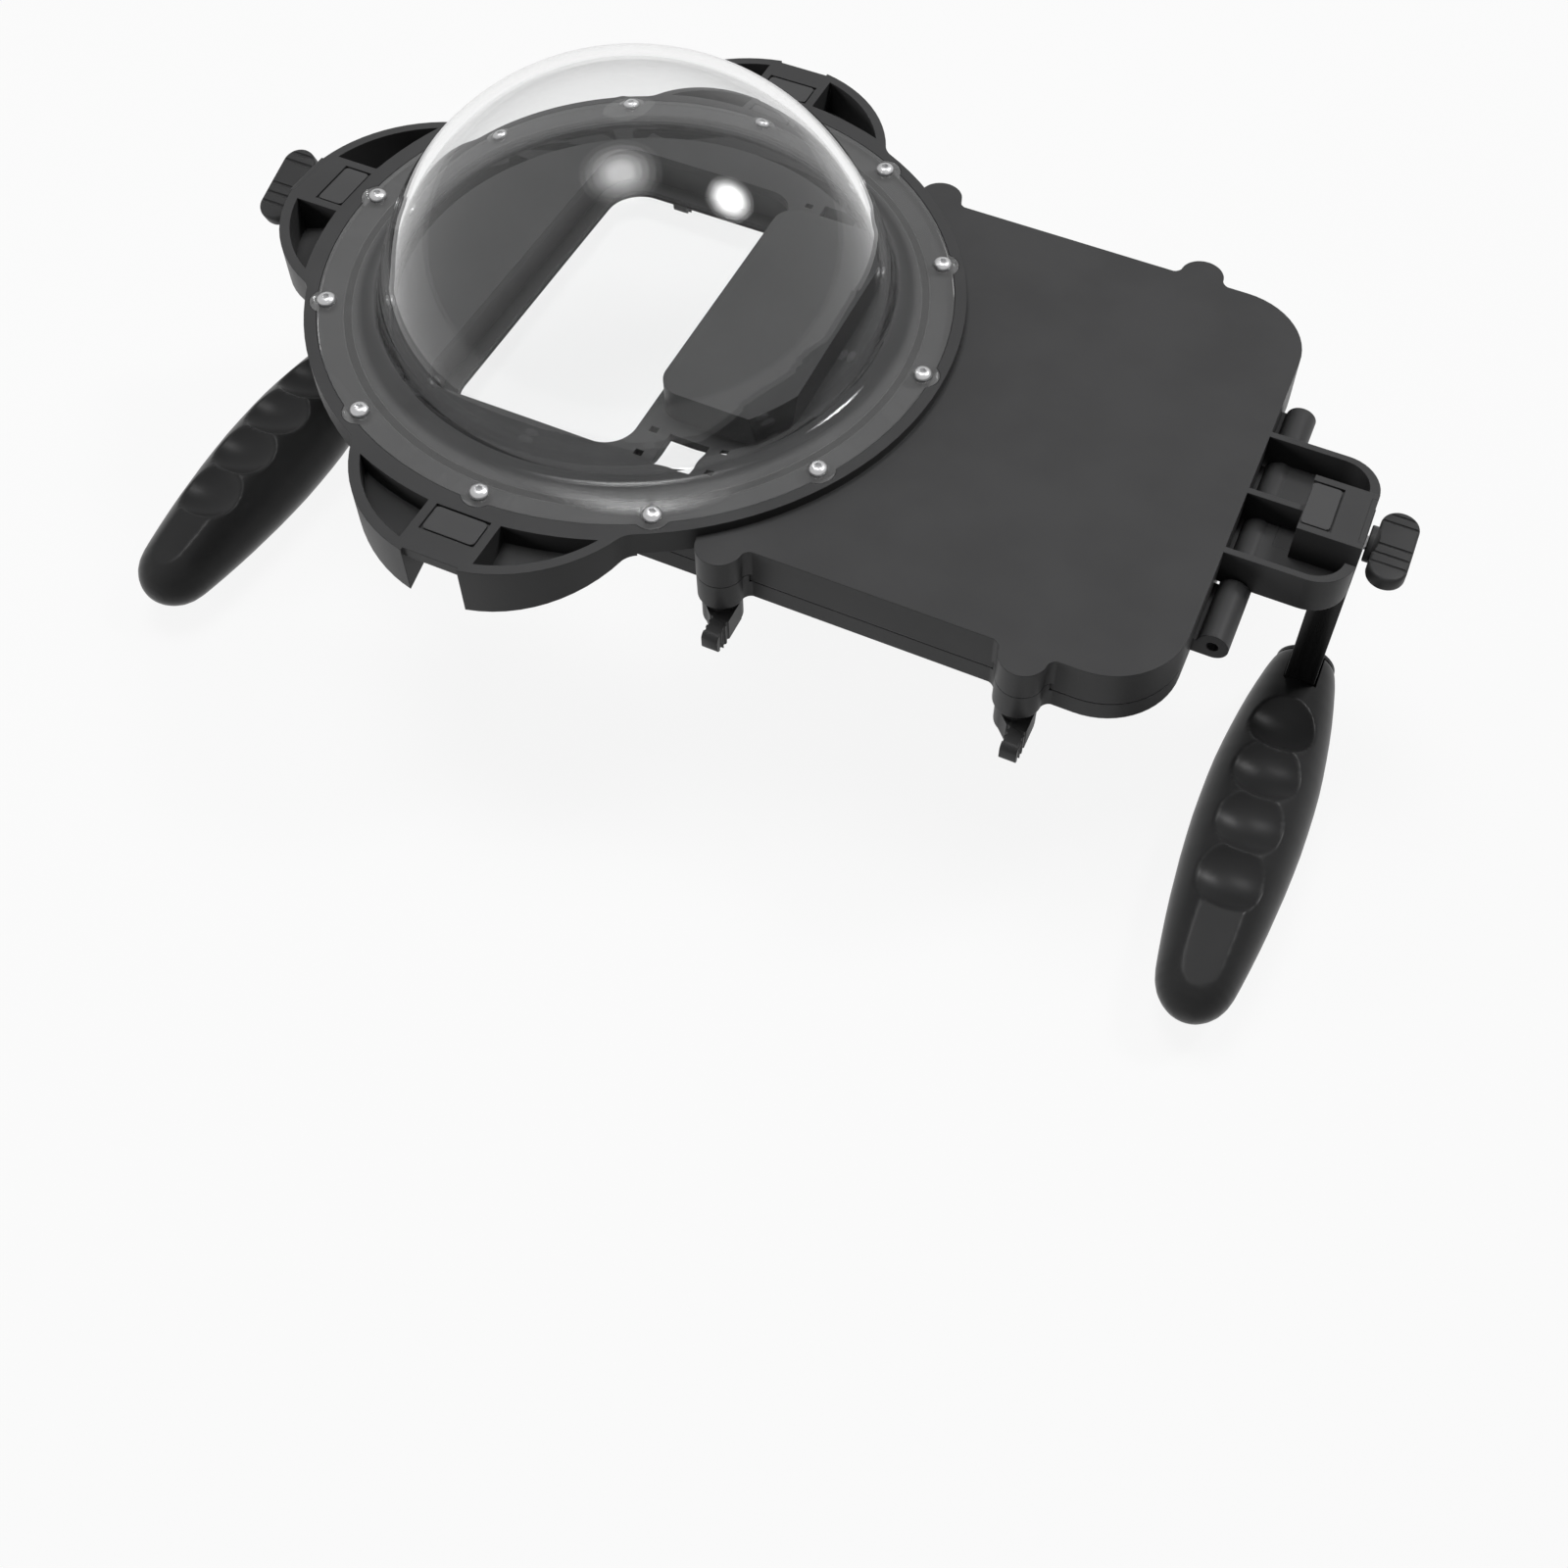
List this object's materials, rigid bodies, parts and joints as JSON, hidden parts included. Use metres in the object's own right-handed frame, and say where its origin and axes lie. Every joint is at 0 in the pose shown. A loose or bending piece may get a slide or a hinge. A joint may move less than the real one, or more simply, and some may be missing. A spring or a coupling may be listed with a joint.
{
  "type": "underwater phone case",
  "caption": "Waterproof phone case with a clear dome port on a round flange, a hinged latched rear cover with a window, and two grips on clamped arms.",
  "frame": {"origin": "middle of the whole extent in X and Y, on the plane that the flat palm sides of the two grips lie on", "axes": "+X along the box towards its hinge, +Y across the box away from the free ends of the grips, +Z out through the dome"},
  "size_m": [0.3628, 0.2304, 0.1589],
  "materials": {
    "front_shell": "satin",
    "dome": "polished",
    "dome_seal": "matte",
    "flange_screws": "satin",
    "flange_nuts": "satin",
    "hinge_pin": "satin",
    "mount_inlays": "satin",
    "rear_cover": "satin",
    "window_pane": "polished",
    "window_frame": "satin",
    "frame_screws": "satin",
    "cover_seal": "matte",
    "lever_1": "satin",
    "lever_2": "satin",
    "lever_3": "satin",
    "lever_4": "satin",
    "lever_5": "satin",
    "lever_6": "satin",
    "lever_7": "satin",
    "lever_8": "satin",
    "shaft_1": "satin",
    "shaft_2": "satin",
    "shaft_3": "satin",
    "shaft_4": "satin",
    "shaft_5": "satin",
    "shaft_6": "satin",
    "shaft_7": "satin",
    "shaft_8": "satin",
    "arm_right": "satin",
    "grip_right": "satin",
    "cap_right": "satin",
    "grip_screw_right": "satin",
    "knob_right": "satin",
    "stud_right": "satin",
    "arm_left": "satin",
    "grip_left": "satin",
    "cap_left": "satin",
    "grip_screw_left": "satin",
    "knob_left": "satin",
    "stud_left": "satin"
  },
  "bodies": {
    "case_front": {"front_shell": "front_shell", "dome": "dome", "dome_seal": "dome_seal", "flange_screws": "flange_screws", "flange_nuts": "flange_nuts", "hinge_pin": "hinge_pin", "mount_inlays": "mount_inlays", "arm_right": "arm_right", "grip_right": "grip_right", "cap_right": "cap_right", "grip_screw_right": "grip_screw_right", "arm_left": "arm_left", "grip_left": "grip_left", "cap_left": "cap_left", "grip_screw_left": "grip_screw_left"},
    "case_rear": {"rear_cover": "rear_cover", "window_pane": "window_pane", "window_frame": "window_frame", "frame_screws": "frame_screws", "cover_seal": "cover_seal"},
    "latch_1": {"lever_1": "lever_1", "shaft_1": "shaft_1"},
    "latch_2": {"lever_2": "lever_2", "shaft_2": "shaft_2"},
    "latch_3": {"lever_3": "lever_3", "shaft_3": "shaft_3"},
    "latch_4": {"lever_4": "lever_4", "shaft_4": "shaft_4"},
    "latch_5": {"lever_5": "lever_5", "shaft_5": "shaft_5"},
    "latch_6": {"lever_6": "lever_6", "shaft_6": "shaft_6"},
    "latch_7": {"lever_7": "lever_7", "shaft_7": "shaft_7"},
    "latch_8": {"lever_8": "lever_8", "shaft_8": "shaft_8"},
    "thumbscrew_right": {"knob_right": "knob_right", "stud_right": "stud_right"},
    "thumbscrew_left": {"knob_left": "knob_left", "stud_left": "stud_left"}
  },
  "joints": [
    {"name": "cover_hinge", "type": "hinge", "parent": "case_front", "child": "case_rear", "pos_m": [0.14, 0, 0.0762], "axis": [0, -1, 0], "range_deg": [0, 80]},
    {"name": "latch_turn_1", "type": "hinge", "parent": "case_rear", "child": "latch_1", "pos_m": [-0.0764, -0.0776, 0.0704], "axis": [0, 0, 1], "range_deg": [0, 90]},
    {"name": "latch_turn_2", "type": "hinge", "parent": "case_rear", "child": "latch_2", "pos_m": [0.0122, -0.0776, 0.0704], "axis": [0, 0, 1], "range_deg": [0, 90]},
    {"name": "latch_turn_3", "type": "hinge", "parent": "case_rear", "child": "latch_3", "pos_m": [0.0977, -0.0776, 0.0704], "axis": [0, 0, 1], "range_deg": [0, 90]},
    {"name": "latch_turn_4", "type": "hinge", "parent": "case_rear", "child": "latch_4", "pos_m": [-0.1129, -0.0275, 0.0704], "axis": [0, 0, 1], "range_deg": [0, 90]},
    {"name": "latch_turn_5", "type": "hinge", "parent": "case_rear", "child": "latch_5", "pos_m": [-0.1129, 0.0275, 0.0704], "axis": [0, 0, 1], "range_deg": [0, 90]},
    {"name": "latch_turn_6", "type": "hinge", "parent": "case_rear", "child": "latch_6", "pos_m": [-0.0764, 0.0776, 0.0704], "axis": [0, 0, 1], "range_deg": [0, 90]},
    {"name": "latch_turn_7", "type": "hinge", "parent": "case_rear", "child": "latch_7", "pos_m": [0.0122, 0.0776, 0.0704], "axis": [0, 0, 1], "range_deg": [0, 90]},
    {"name": "latch_turn_8", "type": "hinge", "parent": "case_rear", "child": "latch_8", "pos_m": [0.0977, 0.0776, 0.0704], "axis": [0, 0, 1], "range_deg": [0, 90]},
    {"name": "thumbscrew_turn_right", "type": "hinge", "parent": "case_front", "child": "thumbscrew_right", "pos_m": [0.1682, 0, 0.084], "axis": [1, 0, 0], "continuous": true},
    {"name": "thumbscrew_turn_left", "type": "hinge", "parent": "case_front", "child": "thumbscrew_left", "pos_m": [-0.1682, 0, 0.084], "axis": [-1, 0, 0], "continuous": true}
  ]
}
